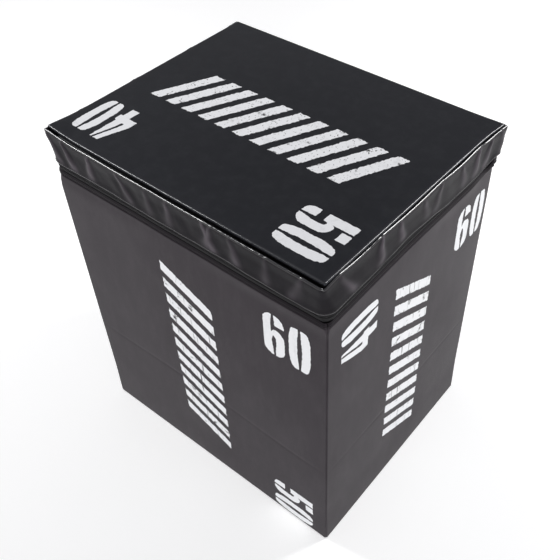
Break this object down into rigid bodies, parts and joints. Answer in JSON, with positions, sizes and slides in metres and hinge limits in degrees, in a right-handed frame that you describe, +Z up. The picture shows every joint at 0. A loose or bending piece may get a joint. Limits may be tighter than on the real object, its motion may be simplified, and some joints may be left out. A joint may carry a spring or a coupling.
{
  "type": "plyo box",
  "caption": "Soft jump box: a stacked foam core in a sewn vinyl cover with a zipped lid, and plain height numbers for standing it on any of its sides.",
  "frame": {"origin": "middle of the base, on the floor", "axes": "+Z up to the landing face, +X along the long side of the top, -Y out of the front panel; the lid's sewn back seam is on +Y"},
  "size_m": [0.5071, 0.4038, 0.6],
  "materials": {
    "body_vinyl": "satin",
    "lid_vinyl": "satin",
    "print": "satin",
    "thread": "satin",
    "foam": "matte",
    "binding": "matte",
    "zip_tape": "matte",
    "zip_coil": "satin",
    "zip_metal": "satin"
  },
  "bodies": {
    "box": {"foam_slab_1": "foam", "foam_slab_2": "foam", "foam_slab_3": "foam", "foam_slab_4": "foam", "foam_slab_5": "foam", "foam_slab_6": "foam", "bottom_panel": "body_vinyl", "front_panel": "body_vinyl", "back_panel": "body_vinyl", "left_panel": "body_vinyl", "right_panel": "body_vinyl", "corner_seam_binding": "binding", "bottom_seam_binding": "binding", "zip_lower_tape": "zip_tape", "zip_lower_coil": "zip_coil", "zip_bottom_stop": "zip_metal", "zip_top_stop_lower": "zip_metal"},
    "lid": {"lid_top_panel": "lid_vinyl", "lid_gusset": "lid_vinyl", "lid_back_gusset": "lid_vinyl", "lid_seam_binding": "binding", "zip_upper_tape": "zip_tape", "zip_upper_coil": "zip_coil", "zip_top_stop_upper": "zip_metal"},
    "zip_slider": {"zip_slider": "zip_metal"},
    "zip_pull": {"zip_pull": "zip_metal"}
  },
  "joints": [
    {"name": "lid_hinge", "type": "hinge", "parent": "box", "child": "lid", "pos_m": [0, 0.2022, 0.54985], "axis": [-1, 0, 0], "range_deg": [0, 180]},
    {"name": "slider_slide", "type": "slide", "parent": "box", "child": "zip_slider", "axis": [0, -1, 0], "range_m": [0, 0.34]},
    {"name": "pull_swing", "type": "hinge", "parent": "zip_slider", "child": "zip_pull", "pos_m": [-0.25325, 0.1697, 0.545], "axis": [0, 0, -1], "range_deg": [0, 170]}
  ]
}
